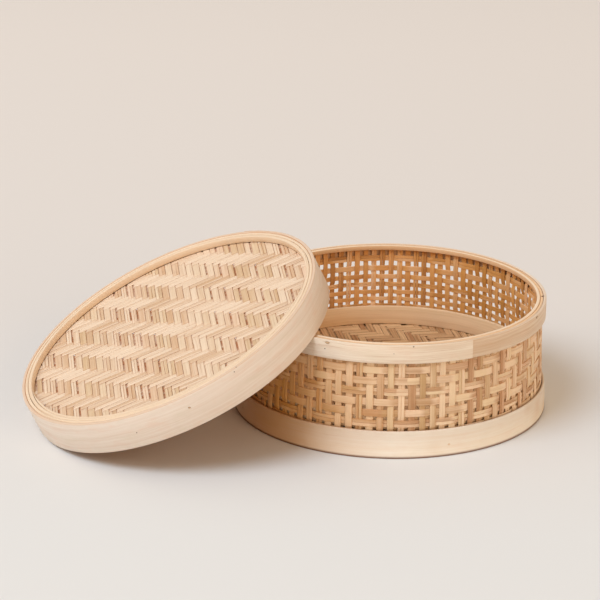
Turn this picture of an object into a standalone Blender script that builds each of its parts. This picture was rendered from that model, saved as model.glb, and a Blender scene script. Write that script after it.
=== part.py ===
"""Round bamboo food basket with its lid, which lies beside it and leans on its rim.

The basket is a woven wall held between hoops, with a mat for a floor. The lid is a mat in a deep hoop.
Units are metres and +Z is up. The ground is z = 0, and the origin is below the middle of the whole.
"""

import math

import bmesh
import bpy
from mathutils import Matrix, Vector

# Fits
TOUCH_GAP = 0.0003              # between two pieces that touch
EDGE_CHAMFER = 0.0006           # along the edges of the hoops and mats
CUT_OVERRUN = 0.004             # how far a cutter runs past what it cuts
RING_STEPS = 64                 # sides of a turned piece
MERGE_DISTANCE = 0.00001        # between points that a turn brings together

# Hoops outside the weave
BASE_RADIUS = 0.130
BASE_HOOP_THICKNESS = 0.0025
BASE_HOOP_HEIGHT = 0.0230
BASKET_HEIGHT = 0.0955
RIM_DRAW_IN = 0.0015            # the rim is this much smaller in radius than the base
RIM_HOOP_THICKNESS = 0.0025
RIM_HOOP_HEIGHT = 0.0153

# Woven wall
WALL_THICKNESS = 0.0022
WALL_FOOT_RECESS = 0.0020       # from the ground up to the weave's lower edge
WALL_TOP_RECESS = 0.0005        # from the rim's top down to the weave's upper edge
LATTICE_COLUMNS = 60            # openings round the wall: fewer and larger than the real ones
LATTICE_ROWS = 5
OPEN_SHARE_ROUND = 0.37         # of the spacing of the columns
OPEN_SHARE_UP = 0.33            # of the spacing of the rows

# Hoops inside the weave
RIM_INNER_HOOP_THICKNESS = 0.0027
RIM_INNER_HOOP_HEIGHT = 0.0038
BASE_INNER_HOOP_THICKNESS = 0.0027
BASE_INNER_HOOP_HEIGHT = 0.0160
SUPPORT_HOOP_THICKNESS = 0.0030
SUPPORT_HOOP_RECESS = 0.0030    # from the ground up to the support hoop

# Floor
FLOOR_TOP = 0.0232
FLOOR_MAT_THICKNESS = 0.0020
SLAT_COUNT = 3
SLAT_SPACING = 0.0620
SLAT_WIDTH = 0.0140
SLAT_THICKNESS = 0.0030

# Pegs
PEG_RADIUS = 0.0007
PEG_PROUD = 0.0003              # how far a peg's head stands out of its hoop
PEGS_PER_HOOP = 4
PEG_SIDES = 12
RIM_PEG_BEARING_DEG = 245.4
BASE_PEG_BEARING_DEG = 290.0
BASE_PEG_HEIGHT = 0.0100
LID_PEG_BEARING_DEG = 78.0

# Lid
LID_CLEARANCE = 0.0004          # between the rim and the skirt that goes round it
SKIRT_THICKNESS = 0.0025
SKIRT_DEPTH = 0.0287
LID_INNER_HOOP_THICKNESS = 0.0081
LID_MAT_RECESS = 0.0060         # from the ring's top down to the mat
LID_MAT_THICKNESS = 0.0020
LID_UNDER_HOOP_THICKNESS = 0.0050
LID_UNDER_HOOP_HEIGHT = 0.0050

# How the lid lies: its top's centre is beside the basket's axis, and it leans towards a bearing
LID_ASIDE_X = -0.1830
LID_ASIDE_Y = -0.0500
LEAN_BEARING_DEG = 198.98
LEAN_LEAST_DEG = 2.0
LEAN_MOST_DEG = 75.0
LEAN_HALVINGS = 28
LEAN_SAMPLES = 1200

# Colours, linear
HOOP_COLOUR = (0.80, 0.62, 0.42, 1.0)
INNER_HOOP_COLOUR = (0.68, 0.48, 0.28, 1.0)
WEAVE_COLOUR = (0.70, 0.50, 0.30, 1.0)
MAT_COLOUR = (0.78, 0.60, 0.40, 1.0)
PEG_COLOUR = (0.45, 0.28, 0.14, 1.0)
BAMBOO_ROUGHNESS = 0.55

# Radii and heights that follow from the sizes above
RIM_RADIUS = BASE_RADIUS - RIM_DRAW_IN
RIM_HOOP_FOOT = BASKET_HEIGHT - RIM_HOOP_HEIGHT
WALL_FOOT_RADIUS = BASE_RADIUS - BASE_HOOP_THICKNESS - TOUCH_GAP
WALL_TOP_RADIUS = RIM_RADIUS - RIM_HOOP_THICKNESS - TOUCH_GAP
FLOOR_UNDERSIDE = FLOOR_TOP - FLOOR_MAT_THICKNESS
SUPPORT_RADIUS = WALL_FOOT_RADIUS - WALL_THICKNESS - TOUCH_GAP
SUPPORT_TOP = FLOOR_UNDERSIDE - TOUCH_GAP
RIM_INNER_RADIUS = WALL_TOP_RADIUS - WALL_THICKNESS - TOUCH_GAP
BASE_INNER_FOOT = FLOOR_TOP + TOUCH_GAP
BASE_INNER_TOP = BASE_INNER_FOOT + BASE_INNER_HOOP_HEIGHT
LID_RADIUS = RIM_RADIUS + LID_CLEARANCE + SKIRT_THICKNESS
LID_INSIDE_RADIUS = LID_RADIUS - SKIRT_THICKNESS - TOUCH_GAP
LID_MAT_UNDERSIDE = -LID_MAT_RECESS - LID_MAT_THICKNESS
LID_UNDER_HOOP_TOP = LID_MAT_UNDERSIDE - TOUCH_GAP


def clear_scene():
    for obj in list(bpy.data.objects):
        bpy.data.objects.remove(obj, do_unlink=True)


def new_collection(name):
    collection = bpy.data.collections.new(name)
    bpy.context.scene.collection.children.link(collection)
    return collection


def bamboo(name, colour):
    """A bamboo material for one piece."""
    material = bpy.data.materials.new(name + "_bamboo")
    material.use_nodes = True
    shader = material.node_tree.nodes["Principled BSDF"]
    shader.inputs["Base Color"].default_value = colour
    shader.inputs["Roughness"].default_value = BAMBOO_ROUGHNESS
    shader.inputs["Metallic"].default_value = 0.0
    return material


def place(name, mesh, group, parent, colour=None):
    """Put a mesh into a group as an object under a parent; one with no colour is a cutter."""
    obj = bpy.data.objects.new(name, mesh)
    group.objects.link(obj)
    obj.parent = parent
    if colour is None:
        obj.hide_render = True
        obj.display_type = "WIRE"
    else:
        mesh.materials.append(bamboo(name, colour))
    return obj


def chamfer(obj):
    bevel = obj.modifiers.new("edges", "BEVEL")
    bevel.width = EDGE_CHAMFER
    bevel.segments = 1
    bevel.limit_method = "ANGLE"
    bevel.angle_limit = math.radians(60)
    bevel.harden_normals = True


def cut(obj, cutter):
    boolean = obj.modifiers.new(cutter.name, "BOOLEAN")
    boolean.operation = "DIFFERENCE"
    boolean.solver = "EXACT"
    boolean.object = cutter


def turned_ring(name, outline, group, parent, colour, chamfered=True):
    """Turn a closed outline of (radius, height) points, listed down its outer side, into a ring."""
    mesh = bpy.data.meshes.new(name)
    points = [(radius, 0, height) for radius, height in outline]
    edges = [(index, (index + 1) % len(points)) for index in range(len(points))]
    mesh.from_pydata(points, edges, [])
    obj = place(name, mesh, group, parent, colour)
    screw = obj.modifiers.new("turn", "SCREW")
    screw.axis = "Z"
    screw.angle = math.tau
    screw.steps = RING_STEPS
    screw.render_steps = RING_STEPS
    screw.use_merge_vertices = True
    screw.merge_threshold = MERGE_DISTANCE
    screw.use_smooth_shade = True
    if chamfered:
        chamfer(obj)
    return obj


def hoop(name, outer, thickness, foot, top, group, parent, colour, chamfered=True):
    inner = outer - thickness
    outline = [(outer, top), (outer, foot), (inner, foot), (inner, top)]
    return turned_ring(name, outline, group, parent, colour, chamfered)


def mat(name, radius, underside, thickness, group, parent):
    """A round mat as a plain disc, its woven face left to the finish."""
    mesh = bpy.data.meshes.new(name)
    work = bmesh.new()
    bmesh.ops.create_cone(
        work, cap_ends=True, segments=RING_STEPS, radius1=radius, radius2=radius, depth=thickness,
        matrix=Matrix.Translation((0, 0, underside + thickness / 2)))
    work.to_mesh(mesh)
    work.free()
    mesh.shade_smooth()
    mesh.set_sharp_from_angle(angle=math.radians(40))
    obj = place(name, mesh, group, parent, MAT_COLOUR)
    chamfer(obj)
    return obj


def add_radial_rod(work, radius, start, end, bearing_deg, height):
    """Add a rod to the bmesh, lying along a bearing from one distance off the axis to another."""
    turn = Matrix.Rotation(math.radians(bearing_deg), 4, "Z")
    shift = Matrix.Translation(((start + end) / 2, 0, height))
    lay = Matrix.Rotation(math.pi / 2, 4, "Y")
    bmesh.ops.create_cone(
        work, cap_ends=True, segments=PEG_SIDES, radius1=radius, radius2=radius, depth=end - start,
        matrix=turn @ shift @ lay)


def peg_bearings(first_deg):
    return [first_deg + 360 * index / PEGS_PER_HOOP for index in range(PEGS_PER_HOOP)]


def pegs(stem, first_deg, height, inside, outside, group, cutters, parent):
    """Make a hoop's pegs, and return the cutter for their holes."""
    for index, bearing in enumerate(peg_bearings(first_deg), start=1):
        name = f"{stem}_{index}"
        mesh = bpy.data.meshes.new(name)
        work = bmesh.new()
        add_radial_rod(work, PEG_RADIUS, inside, outside + PEG_PROUD, bearing, height)
        work.to_mesh(mesh)
        work.free()
        mesh.shade_smooth()
        mesh.set_sharp_from_angle(angle=math.radians(40))
        place(name, mesh, group, parent, PEG_COLOUR)
    mesh = bpy.data.meshes.new(f"{stem}_holes")
    work = bmesh.new()
    for bearing in peg_bearings(first_deg):
        add_radial_rod(
            work, PEG_RADIUS + TOUCH_GAP, inside - CUT_OVERRUN, outside + CUT_OVERRUN, bearing, height)
    work.to_mesh(mesh)
    work.free()
    return place(f"{stem}_holes", mesh, cutters, parent)


def box_mesh(name, length, width, foot, top, centre_y):
    mesh = bpy.data.meshes.new(name)
    work = bmesh.new()
    bmesh.ops.create_cube(work, size=1)
    bmesh.ops.scale(work, vec=(length, width, top - foot), verts=work.verts)
    bmesh.ops.translate(work, vec=(0, centre_y, (foot + top) / 2), verts=work.verts)
    work.to_mesh(mesh)
    work.free()
    return mesh


def lid_normal(tilt):
    bearing = math.radians(LEAN_BEARING_DEG)
    return Vector((
        math.sin(tilt) * math.cos(bearing), math.sin(tilt) * math.sin(bearing), math.cos(tilt)))


def lid_top_centre(tilt):
    """Centre of the lid's top, from the basket's axis, with the skirt's lowest edge on the ground."""
    lower_edge = ((LID_RADIUS, SKIRT_DEPTH - EDGE_CHAMFER), (LID_RADIUS - EDGE_CHAMFER, SKIRT_DEPTH))
    drop = max(radius * math.sin(tilt) + depth * math.cos(tilt) for radius, depth in lower_edge)
    return Vector((LID_ASIDE_X, LID_ASIDE_Y, TOUCH_GAP + drop))


def rim_circles():
    """The circles along the corners of the rim, as (radius, height)."""
    inside = RIM_INNER_RADIUS - RIM_INNER_HOOP_THICKNESS
    below_edge = BASKET_HEIGHT - EDGE_CHAMFER
    return (
        (RIM_RADIUS, below_edge),
        (RIM_RADIUS - EDGE_CHAMFER, BASKET_HEIGHT),
        (RIM_RADIUS - RIM_HOOP_THICKNESS, BASKET_HEIGHT),
        (RIM_INNER_RADIUS, BASKET_HEIGHT),
        (inside + EDGE_CHAMFER, BASKET_HEIGHT),
        (inside, below_edge))


def skirt_clearance(tilt):
    """Least height of the skirt's lower edge above the rim, where it lies over the rim."""
    normal = lid_normal(tilt)
    centre = lid_top_centre(tilt) - normal * SKIRT_DEPTH
    least = math.inf
    for radius, height in rim_circles():
        for index in range(LEAN_SAMPLES):
            angle = math.tau * index / LEAN_SAMPLES
            aside = Vector((radius * math.cos(angle), radius * math.sin(angle), centre.z)) - centre
            rise = -(aside.x * normal.x + aside.y * normal.y) / normal.z
            reach = math.hypot(aside.x, aside.y, rise)
            if LID_RADIUS - SKIRT_THICKNESS <= reach <= LID_RADIUS:
                least = min(least, centre.z + rise - height)
    return least


def lean_angle():
    """The tilt at which the skirt comes to rest on the rim, found by halving a range."""
    low = math.radians(LEAN_LEAST_DEG)
    high = math.radians(LEAN_MOST_DEG)
    for _ in range(LEAN_HALVINGS):
        middle = (low + high) / 2
        if skirt_clearance(middle) < TOUCH_GAP:
            low = middle
        else:
            high = middle
    return high


def basket_place(tilt):
    """Where the basket's axis stands, so that the origin is below the middle of the whole."""
    normal = lid_normal(tilt)
    top = lid_top_centre(tilt)
    lid_left = top.x - LID_RADIUS * math.sqrt(1 - normal.x ** 2)
    lid_front = top.y - LID_RADIUS * math.sqrt(1 - normal.y ** 2)
    return Vector((-(lid_left + BASE_RADIUS) / 2, -(lid_front + BASE_RADIUS) / 2, 0))


def empty(name, location, rotation=(0, 0, 0)):
    obj = bpy.data.objects.new(name, None)
    bpy.context.scene.collection.objects.link(obj)
    obj.location = location
    obj.rotation_euler = rotation
    return obj


def wall_radius(height):
    """The weave's outer radius: upright behind the hoops, and narrowing from the base hoop up to the rim."""
    share = (height - BASE_HOOP_HEIGHT) / (RIM_HOOP_FOOT - BASE_HOOP_HEIGHT)
    return WALL_FOOT_RADIUS + (WALL_TOP_RADIUS - WALL_FOOT_RADIUS) * min(max(share, 0), 1)


def lattice_levels():
    """Heights at which the wall's faces are divided, and the bands between them that hold openings."""
    spacing = (RIM_HOOP_FOOT - BASE_HOOP_HEIGHT) / LATTICE_ROWS
    half_open = spacing * OPEN_SHARE_UP / 2
    levels = [WALL_FOOT_RECESS, BASE_HOOP_HEIGHT]
    open_bands = set()
    for row in range(LATTICE_ROWS):
        middle = BASE_HOOP_HEIGHT + (row + 1 / 2) * spacing
        open_bands.add(len(levels))
        levels += [middle - half_open, middle + half_open]
    return levels + [RIM_HOOP_FOOT, BASKET_HEIGHT - WALL_TOP_RECESS], open_bands


def woven_wall(group, parent):
    """The wall as one body, with rows of openings through it between the hoops."""
    levels, open_bands = lattice_levels()
    column = math.tau / LATTICE_COLUMNS
    bearings = []
    for index in range(LATTICE_COLUMNS):
        bearings += [index * column, (index + 1 - OPEN_SHARE_ROUND) * column]
    work = bmesh.new()

    def skin(inset):
        return [[work.verts.new((
            (wall_radius(level) - inset) * math.cos(bearing),
            (wall_radius(level) - inset) * math.sin(bearing),
            level)) for level in levels] for bearing in bearings]

    outer = skin(0)
    inner = skin(WALL_THICKNESS)
    last = len(levels) - 1
    for index in range(len(bearings)):
        after = (index + 1) % len(bearings)
        for band in range(last):
            corners = ((index, band), (after, band), (after, band + 1), (index, band + 1))
            if index % 2 and band in open_bands:
                for (near, low), (far, high) in zip(corners, corners[1:] + corners[:1]):
                    work.faces.new((outer[near][low], outer[far][high], inner[far][high], inner[near][low]))
            else:
                work.faces.new([outer[side][level] for side, level in corners])
                work.faces.new([inner[side][level] for side, level in reversed(corners)])
        for end in (0, last):
            work.faces.new((outer[index][end], outer[after][end], inner[after][end], inner[index][end]))
    bmesh.ops.recalc_face_normals(work, faces=work.faces)
    mesh = bpy.data.meshes.new("woven_wall")
    work.to_mesh(mesh)
    work.free()
    return place("woven_wall", mesh, group, parent, WEAVE_COLOUR)


def floor_slats(group, cutters, parent, support):
    """Slats below the mat, each with its ends in two notches of the support hoop."""
    top = SUPPORT_TOP
    foot = top - SLAT_THICKNESS
    for index in range(SLAT_COUNT):
        centre_y = (index - (SLAT_COUNT - 1) / 2) * SLAT_SPACING
        corner_y = abs(centre_y) + SLAT_WIDTH / 2
        length = 2 * math.sqrt(SUPPORT_RADIUS ** 2 - corner_y ** 2) - 2 * TOUCH_GAP
        name = f"floor_slat_{index + 1}"
        place(name, box_mesh(name, length, SLAT_WIDTH, foot, top, centre_y), group, parent, WEAVE_COLOUR)
        notch = box_mesh(
            name + "_notch", length + 2 * CUT_OVERRUN, SLAT_WIDTH + 2 * TOUCH_GAP,
            foot - TOUCH_GAP, top + CUT_OVERRUN, centre_y)
        cut(support, place(name + "_notch", notch, cutters, parent))


def build_basket(group, cutters, parent):
    base_outer = hoop(
        "base_outer_hoop", BASE_RADIUS, BASE_HOOP_THICKNESS, 0, BASE_HOOP_HEIGHT,
        group, parent, HOOP_COLOUR)
    rim_outer = hoop(
        "rim_outer_hoop", RIM_RADIUS, RIM_HOOP_THICKNESS, RIM_HOOP_FOOT, BASKET_HEIGHT,
        group, parent, HOOP_COLOUR)
    wall = woven_wall(group, parent)
    rim_inner_foot = BASKET_HEIGHT - RIM_INNER_HOOP_HEIGHT
    rim_inner = hoop(
        "rim_inner_hoop", RIM_INNER_RADIUS, RIM_INNER_HOOP_THICKNESS, rim_inner_foot, BASKET_HEIGHT,
        group, parent, INNER_HOOP_COLOUR)
    base_inner_radius = wall_radius(BASE_INNER_TOP) - WALL_THICKNESS - TOUCH_GAP
    hoop(
        "base_inner_hoop", base_inner_radius, BASE_INNER_HOOP_THICKNESS, BASE_INNER_FOOT, BASE_INNER_TOP,
        group, parent, HOOP_COLOUR)
    mat("floor_mat", SUPPORT_RADIUS, FLOOR_UNDERSIDE, FLOOR_MAT_THICKNESS, group, parent)
    support = hoop(
        "base_support_hoop", SUPPORT_RADIUS, SUPPORT_HOOP_THICKNESS, SUPPORT_HOOP_RECESS, SUPPORT_TOP,
        group, parent, INNER_HOOP_COLOUR, chamfered=False)
    floor_slats(group, cutters, parent, support)
    rim_holes = pegs(
        "rim_peg", RIM_PEG_BEARING_DEG, (rim_inner_foot + BASKET_HEIGHT) / 2,
        RIM_INNER_RADIUS - RIM_INNER_HOOP_THICKNESS, RIM_RADIUS, group, cutters, parent)
    base_holes = pegs(
        "base_peg", BASE_PEG_BEARING_DEG, BASE_PEG_HEIGHT,
        SUPPORT_RADIUS - SUPPORT_HOOP_THICKNESS, BASE_RADIUS, group, cutters, parent)
    for piece in (rim_outer, wall, rim_inner):
        cut(piece, rim_holes)
    for piece in (base_outer, wall, support):
        cut(piece, base_holes)


def build_lid(group, cutters, parent):
    """The lid in its own frame: z = 0 is the ring's top, and the skirt hangs down."""
    skirt = hoop(
        "lid_outer_hoop", LID_RADIUS, SKIRT_THICKNESS, -SKIRT_DEPTH, 0,
        group, parent, HOOP_COLOUR)
    hoop(
        "lid_inner_hoop", LID_INSIDE_RADIUS, LID_INNER_HOOP_THICKNESS, TOUCH_GAP - LID_MAT_RECESS, 0,
        group, parent, HOOP_COLOUR)
    mat("lid_mat", LID_INSIDE_RADIUS, LID_MAT_UNDERSIDE, LID_MAT_THICKNESS, group, parent)
    under_foot = LID_UNDER_HOOP_TOP - LID_UNDER_HOOP_HEIGHT
    under = hoop(
        "lid_under_hoop", LID_INSIDE_RADIUS, LID_UNDER_HOOP_THICKNESS, under_foot, LID_UNDER_HOOP_TOP,
        group, parent, INNER_HOOP_COLOUR, chamfered=False)
    holes = pegs(
        "lid_peg", LID_PEG_BEARING_DEG, (LID_UNDER_HOOP_TOP + under_foot) / 2,
        LID_INSIDE_RADIUS - LID_UNDER_HOOP_THICKNESS, LID_RADIUS, group, cutters, parent)
    cut(skirt, holes)
    cut(under, holes)


def main():
    clear_scene()
    group = new_collection("bamboo_food_basket")
    cutters = new_collection("cutters")
    tilt = lean_angle()
    axis = basket_place(tilt)
    build_basket(group, cutters, empty("basket_axis", axis))
    lid_seat = empty(
        "lid_seat", axis + lid_top_centre(tilt), (0, tilt, math.radians(LEAN_BEARING_DEG)))
    build_lid(group, cutters, lid_seat)
    bpy.context.view_layer.update()
    print("lid leans", round(math.degrees(tilt), 2), "degrees; its top's centre is at",
          [round(value, 5) for value in lid_seat.location], "and the basket's axis at",
          [round(value, 5) for value in axis])


main()
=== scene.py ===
"""A round bamboo food basket and its lid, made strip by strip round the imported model.

The basket is an open lattice of split bamboo between bent hoops, with a herringbone mat for a floor.
The lid is a herringbone mat in a deep bent hoop. Sizes are metres, and angles in names are degrees.
"""

import math
import random
from collections import namedtuple

import bmesh
import bpy
import numpy as np
from mathutils import Matrix, Vector


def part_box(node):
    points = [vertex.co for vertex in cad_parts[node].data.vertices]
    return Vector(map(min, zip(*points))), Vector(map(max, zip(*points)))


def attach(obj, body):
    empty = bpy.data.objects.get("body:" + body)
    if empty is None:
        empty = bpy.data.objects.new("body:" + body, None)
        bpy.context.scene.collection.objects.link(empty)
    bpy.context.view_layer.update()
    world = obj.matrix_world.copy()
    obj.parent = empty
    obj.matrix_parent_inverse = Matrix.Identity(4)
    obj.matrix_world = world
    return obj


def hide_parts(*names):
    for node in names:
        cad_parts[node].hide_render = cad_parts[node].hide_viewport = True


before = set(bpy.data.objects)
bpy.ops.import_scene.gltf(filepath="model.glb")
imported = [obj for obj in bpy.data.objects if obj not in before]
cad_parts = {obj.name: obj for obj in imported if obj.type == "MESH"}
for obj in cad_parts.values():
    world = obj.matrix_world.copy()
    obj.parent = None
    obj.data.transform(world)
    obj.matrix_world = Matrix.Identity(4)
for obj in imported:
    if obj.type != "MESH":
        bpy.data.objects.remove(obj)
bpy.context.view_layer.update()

# Where the CAD pieces are


def node_points(node):
    """The different corners of a CAD node, as rows of x, y, z."""
    points = np.array([vertex.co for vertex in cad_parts[node].data.vertices])
    return np.unique(points.round(6), axis=0)


def upright_ring(node):
    """Outer radius, foot and top of a hoop that stands upright."""
    low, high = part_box(node)
    return (high.x - low.x) / 2, low.z, high.z


foot_low, foot_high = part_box("base_outer_hoop")
BASKET_PLACE = Matrix.Translation(((foot_low.x + foot_high.x) / 2, (foot_low.y + foot_high.y) / 2, 0))
BASE_RADIUS, _, BASE_TOP = upright_ring("base_outer_hoop")
RIM_RADIUS, RIM_FOOT, RIM_TOP = upright_ring("rim_outer_hoop")
RIM_INNER_RADIUS, RIM_INNER_FOOT, _ = upright_ring("rim_inner_hoop")
BASE_INNER_RADIUS, BASE_INNER_FOOT, BASE_INNER_TOP = upright_ring("base_inner_hoop")
SUPPORT_RADIUS, SUPPORT_FOOT, SUPPORT_TOP = upright_ring("base_support_hoop")
WALL_FOOT_RADIUS, WALL_FOOT, WALL_TOP = upright_ring("woven_wall")
FLOOR_RADIUS, FLOOR_UNDERSIDE, FLOOR_TOP = upright_ring("floor_mat")


def lid_frame():
    """The lid's own frame: the centre of the ring's top, x to the viewer's right along the ring's top."""
    mat = node_points("lid_mat")
    centre = mat.mean(axis=0)
    normal = np.linalg.svd(mat - centre)[2][2]
    normal *= math.copysign(1, normal[2])
    rise = ((node_points("lid_outer_hoop") - centre) @ normal).max()
    right = np.array((1.0, 0.0, 0.0)) - normal[0] * normal
    right /= np.linalg.norm(right)
    away = np.cross(normal, right)
    place = Matrix((right, away, normal)).transposed().to_4x4()
    place.translation = centre + normal * rise
    return place


LID_PLACE = lid_frame()


def lid_ring(node):
    """Outer radius, inner radius, foot and top of a turned piece of the lid, in the lid's own frame."""
    inverse = np.array(LID_PLACE.inverted())
    points = node_points(node) @ inverse[:3, :3].T + inverse[:3, 3]
    reach = np.hypot(points[:, 0], points[:, 1])
    return reach.max(), reach.min(), points[:, 2].min(), points[:, 2].max()


LID_RADIUS, LID_SKIRT_INSIDE, LID_SKIRT_FOOT, _ = lid_ring("lid_outer_hoop")
LID_PLY_RADIUS, LID_OPENING_RADIUS, LID_PLY_FOOT, _ = lid_ring("lid_inner_hoop")
LID_MAT_RADIUS, _, LID_MAT_UNDERSIDE, LID_MAT_TOP = lid_ring("lid_mat")
LID_UNDER_RADIUS, LID_UNDER_INSIDE, LID_UNDER_FOOT, LID_UNDER_TOP = lid_ring("lid_under_hoop")

# Strips of every kind
STRIP_SMOOTH_DEG = 40
SIDE_FACE = 0.8  # a face that looks this much along y is one of a strip's sides
BOARD = 3.0  # metres of board, along and across, that a strip's grain is taken from

# Hoops
BASE_HOOP_THICKNESS = 0.0025
RIM_HOOP_THICKNESS = 0.0025
RIM_INNER_THICKNESS = 0.0027
BASE_INNER_THICKNESS = 0.0027
SUPPORT_THICKNESS = 0.0030
PRESSED_IN = 0.0003  # how far the inner band's foot is pressed into the mat
NOTCH_GAP = 0.0003  # how much wider a notch is than its slat
HOOP_STOPS = 216  # lengths that a hoop's faces are cut into
HOOP_EDGE = 0.0005  # how far a hoop's long edges are eased
HOOP_SMOOTH_DEG = 50
LAP_LENGTH_DEG = 26
LAP_TIP = 0.0003  # thickness of a lapped end at its tip
LAP_ROOT = 0.15  # share of the thickness where the inner end starts
START_TONE_TURN = 2.0  # radians over which a hoop loses the tone of its inner end
BASE_LEAN = 0.0009  # how far the base hoop's upper lip leans in
BASE_LEAN_FROM = 0.35  # share of its height where that starts

# Plies of the lid
PLY_EDGE = 0.0004
PLY_GAP = 0.0004
OUTER_PLY_THICKNESS = 0.0024
MIDDLE_PLY_THICKNESS = 0.0029
PLY_TIP = 0.08  # share of the thickness that is left at the innermost ply's tips
PLY_TOPS = (-0.0001, -0.0002, -0.0005)  # from the outermost ply in, measured from the ring's top

# Lattice of the wall: stakes stand upright, and weavers run round through them
STAKE_COUNT = 100
STAKE_WIDTH = 0.0049
STAKE_WIDTHS = (0.92, 1.1)  # the narrowest and the widest stake, as shares of that width
STAKE_ASIDE_DEG = 0.16  # the most that a stake stands beside its place
STAKE_LEAN = 0.004  # the most that a stake leans aside, as a slope
DOUBLED_SHARE = 0.4  # share of the stakes that are two narrow strips side by side
HALF_WIDTH = 0.49  # width of one of two such strips, as a share of the two
HALF_ASIDE = 0.25  # and how far its middle lies beside theirs
PAIR_TONES = (0.05, 0.3)  # and how far its tone is off theirs
STRIP_THICKNESS = 0.0008
LATTICE_EDGE = 0.00034
LATTICE_SWING = 0.00046  # how far a strip leaves the middle of the wall to pass another
LATTICE_MID_DEPTH = 0.0011  # from the wall's outside in to its middle
LATTICE_STOPS = (-0.30, 0.30, 0.50)  # where a strip is cut across, counted from each crossing
HALFWAY = 0.45  # a stop this far from a crossing lies halfway to the next
STAKE_END_GAP = 0.0002  # from a stake's end to the wall's edge
WEAVER_EDGE_GAP = 0.0001  # the least from a weaver to the wall's edge
FRONT_WIDER = 0.07  # how much wider the strips are in front, and narrower at the back
SIDE_WIDER = 0.08  # and how much wider still at the two sides
SIDES_DEG = (335, 213)
FIRST_STAKE_DEG = 261.1
WIDE_SPACING_DEG = 240  # the stakes stand widest apart on this side
SPACING_SPREAD = 0.075
BEARING_STEPS = 7200
MILLIMETRE = 0.001
# Heights of the rows in millimetres, the first of which is the strip that closes the top
WEAVER_FRONT = (91.0, 82.4, 73.5, 64.3, 55.2, 46.5, 37.3, 28.5, 19.8, 11.5, 5.0)
WEAVER_BACK = (92.6, 83.2, 73.9, 66.0, 58.9, 51.9, 45.4, 38.9, 31.0, 21.0, 9.0)
WALL_FLOAT = 2  # stakes that a weaver passes on one side before it changes to the other
FIRST_FLOAT_ROW = 2  # the row whose weaver comes outside at the first stake
WEAVER_START = 3  # where in the weave's repeat a weaver's two ends meet
WEAVER_WIDTH = 0.0054  # as it is made, before it takes the width of its row
WEAVER_SHARE = 0.61  # a weaver's width as a share of the spacing of the rows
DOUBLED_ROWS = (1, 4, 7, 9)  # rows whose weaver is two narrow strips
WEAVER_HALF_ASIDE = 0.255
WEAVER_PAIR_TONE = 0.12
FLOAT_TONES = (-0.35, 1.35)  # tones that the floats of one weaver are drawn from
TOP_STRIP = (0.0906, 0.0951, 0.0021)  # foot, top and thickness of the strip in the first row

# A mat's strips of one direction: how many per metre along x and along y, and where in that count the
# mat's centre is. gaps are the usual gap beside a strip and the wide one, as shares of the pitch, and the
# share of the strips that have the wide one. tones and tints are the lowest and the highest.
Family = namedtuple("Family", "count phase gaps tones tints doubled_share edge")
FLOOR_UPRIGHTS = Family((166.0, 28.0), 0.1, gaps=(0.07, 0.25, 0.3), tones=(0.2, 1.0), tints=(0.2, 0.8),
                        doubled_share=0.2, edge=0.0003)
FLOOR_CROSSINGS = Family((-28.0, 166.0), 0.2, gaps=(0.06, 0.2, 0.2), tones=(0.0, 0.6), tints=(0.3, 0.7),
                         doubled_share=0.6, edge=0.0002)
LID_UPRIGHTS = Family((166.33, 22.42), -0.257, gaps=(0.035, 0.24, 0.2), tones=(0, 0.85), tints=(0, 1),
                      doubled_share=0.3, edge=0.00035)
LID_CROSSINGS = Family((-12.33, 169.64), 0.39, gaps=(0.065, 0.12, 0.25), tones=(-0.1, 0.6),
                       tints=(0.35, 0.65), doubled_share=0.75, edge=0.00028)
MAT_FLOAT = 4  # strips that a float passes over
MAT_FIRST_FLOAT = 3  # the crossing strip where the middle upright starts a float
MAT_STRIP_THICKNESS = 0.0008
MAT_SWING = 0.00044
MAT_STOP = 0.36  # where a strip is cut across on both sides of each crossing
MAT_END_STOP = 0.02  # the least from such a cut to the strip's end
MAT_TILT = 0.05  # the most that a strip lies turned on its long axis, as a slope
MAT_PAIR_TONES = (0.05, 0.2)
UNDER_SHADE = 0.88  # how far a strip takes on its core's colour where it passes under: painted shade in the gaps of the weave

# Slats and pegs
SLATS = ("floor_slat_1", "floor_slat_2", "floor_slat_3")
SLAT_STOPS = 24
PEG_COUNT = 4
PEG_SIDES = 24
PEG_HEAD = (1.6, 0.9)  # how wide and how high a peg's oval head is, as shares of the peg's size
RIM_PEG_HEAD = (2.8, 1.25)
PEG_EASED = 0.3  # width of the head's eased edge, as a share of the peg's radius
PEG_CROWN = 0.15  # how far the head stands up inside that edge
PEG_FACE = 0.05  # what lies this near to the head's top is its face
LEVEL_FACE = 0.9  # a face that looks this much upwards is level

grains = random.Random(20)


def deselect():
    bpy.ops.object.select_all(action="DESELECT")


def positions(mesh):
    points = np.empty(len(mesh.vertices) * 3)
    mesh.vertices.foreach_get("co", points)
    return points.reshape(-1, 3)


def put_positions(mesh, points):
    mesh.vertices.foreach_set("co", np.ascontiguousarray(points, dtype=np.float32).ravel())
    mesh.update()


def put_round(mesh, radius, angle, rise):
    """Put a mesh's points at a radius, an angle and a height."""
    put_positions(mesh, np.column_stack((radius * np.cos(angle), radius * np.sin(angle), rise)))


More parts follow.
